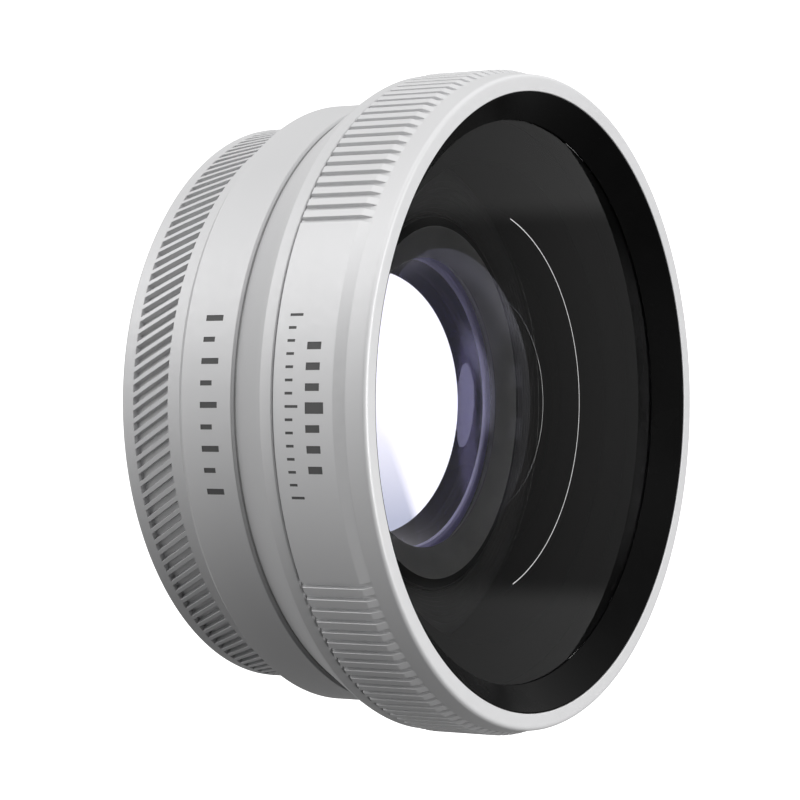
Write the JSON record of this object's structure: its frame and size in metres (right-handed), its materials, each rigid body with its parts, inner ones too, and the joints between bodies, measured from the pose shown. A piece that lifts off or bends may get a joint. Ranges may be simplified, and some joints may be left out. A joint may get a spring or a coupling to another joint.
{
  "type": "wide-angle conversion lens",
  "caption": "Screw-on wide-angle converter for a camera lens: ribbed front ring and large front glass on a removable rear close-up unit with a male mounting thread.",
  "frame": {"origin": "on the optical axis, in the plane of the rear shoulder that seats against the camera lens", "axes": "+Z is the optical axis pointing at the subject, so the lens stands on its rear thread; the smooth label windows face -Y and +Y"},
  "size_m": [0.0624, 0.0624, 0.033],
  "materials": {
    "silver_aluminium": "satin silver anodised",
    "silver_aluminium_front": "satin silver anodised",
    "silver_grip": "satin silver anodised, bright turned rim",
    "black_aluminium": "black anodised",
    "gloss_black_aluminium": "gloss black anodised",
    "matt_black_baffle": "matt black",
    "grey_nylon": "matt, undyed",
    "black_rubber": "matt",
    "front_glass": "polished, edge blackened",
    "coated_glass": "polished, violet anti-reflection coating"
  },
  "bodies": {
    "macro_unit": {"macro_barrel": "silver_aluminium", "macro_lens": "coated_glass", "macro_retaining_ring": "black_aluminium"},
    "washer": {"slip_washer": "grey_nylon"},
    "wide_unit": {"wide_barrel": "silver_aluminium_front", "glare_baffle": "matt_black_baffle", "front_lens_gasket": "black_rubber", "front_lens": "front_glass", "front_retaining_ring": "gloss_black_aluminium", "front_grip_ring": "silver_grip"}
  },
  "joints": [
    {"name": "wide_unit_lift", "type": "slide", "parent": "macro_unit", "child": "washer", "axis": [0, 0, 1], "range_m": [0, 0.00226]},
    {"name": "wide_unit_turn", "type": "hinge", "parent": "washer", "child": "wide_unit", "pos_m": [0, 0, 0.01396], "axis": [0, 0, 1], "range_deg": [0, 1080]}
  ],
  "couplings": [
    {"joint": "wide_unit_lift", "follows": "wide_unit_turn", "m_per_rad": 0.00011937}
  ]
}
